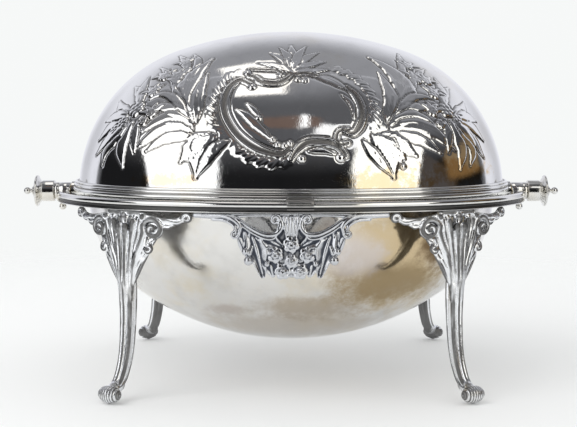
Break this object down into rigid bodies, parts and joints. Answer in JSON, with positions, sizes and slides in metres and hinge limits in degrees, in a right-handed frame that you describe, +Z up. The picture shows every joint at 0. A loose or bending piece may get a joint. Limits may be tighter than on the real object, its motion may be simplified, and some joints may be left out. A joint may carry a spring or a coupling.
{
  "type": "revolving cover serving dish",
  "caption": "Oval footed serving dish whose chased dome cover turns on end bearings and tucks away under a fixed bowl.",
  "frame": {"origin": "centre of the four feet's footprint, on the table", "axes": "+X along the cover's pivot axis, +Z up, the thumb-piece faces -Y"},
  "size_m": [0.356, 0.2423, 0.2245],
  "materials": {
    "chased_silver": "polished",
    "polished_silver": "polished",
    "cast_silver": "satin",
    "hardware": "satin",
    "brass": "satin"
  },
  "bodies": {
    "stand": {"frame_ring": "polished_silver", "bearing_housing_left": "polished_silver", "bearing_housing_right": "polished_silver", "pivot_pin_left": "hardware", "pivot_pin_right": "hardware", "thrust_washer_left": "brass", "thrust_washer_right": "brass", "end_knob_left": "polished_silver", "end_knob_right": "polished_silver", "finial_left": "polished_silver", "finial_right": "polished_silver", "lock_screw_left": "polished_silver", "lock_screw_right": "polished_silver", "leg_front_left": "cast_silver", "leg_front_right": "cast_silver", "leg_rear_left": "cast_silver", "leg_rear_right": "cast_silver", "festoon_front": "cast_silver", "festoon_rear": "cast_silver", "bowl": "polished_silver", "bowl_rim": "polished_silver", "bowl_boss_left": "polished_silver", "bowl_boss_right": "polished_silver"},
    "cover": {"lid_dome": "chased_silver", "lid_border": "chased_silver", "lid_ear_left": "chased_silver", "lid_ear_right": "chased_silver", "thumb_piece": "chased_silver"},
    "liner": {"liner_dish": "polished_silver", "liner_border": "polished_silver"},
    "drainer": {"drainer": "polished_silver"}
  },
  "joints": [
    {"name": "cover_turn", "type": "hinge", "parent": "stand", "child": "cover", "pos_m": [0, 0, 0.1195], "axis": [-1, 0, 0], "range_deg": [0, 177]},
    {"name": "liner_lift", "type": "slide", "parent": "stand", "child": "liner", "axis": [0, 0, 1], "range_m": [0, 0.02]},
    {"name": "drainer_lift", "type": "slide", "parent": "liner", "child": "drainer", "axis": [0, 0, 1], "range_m": [0, 0.015]}
  ]
}
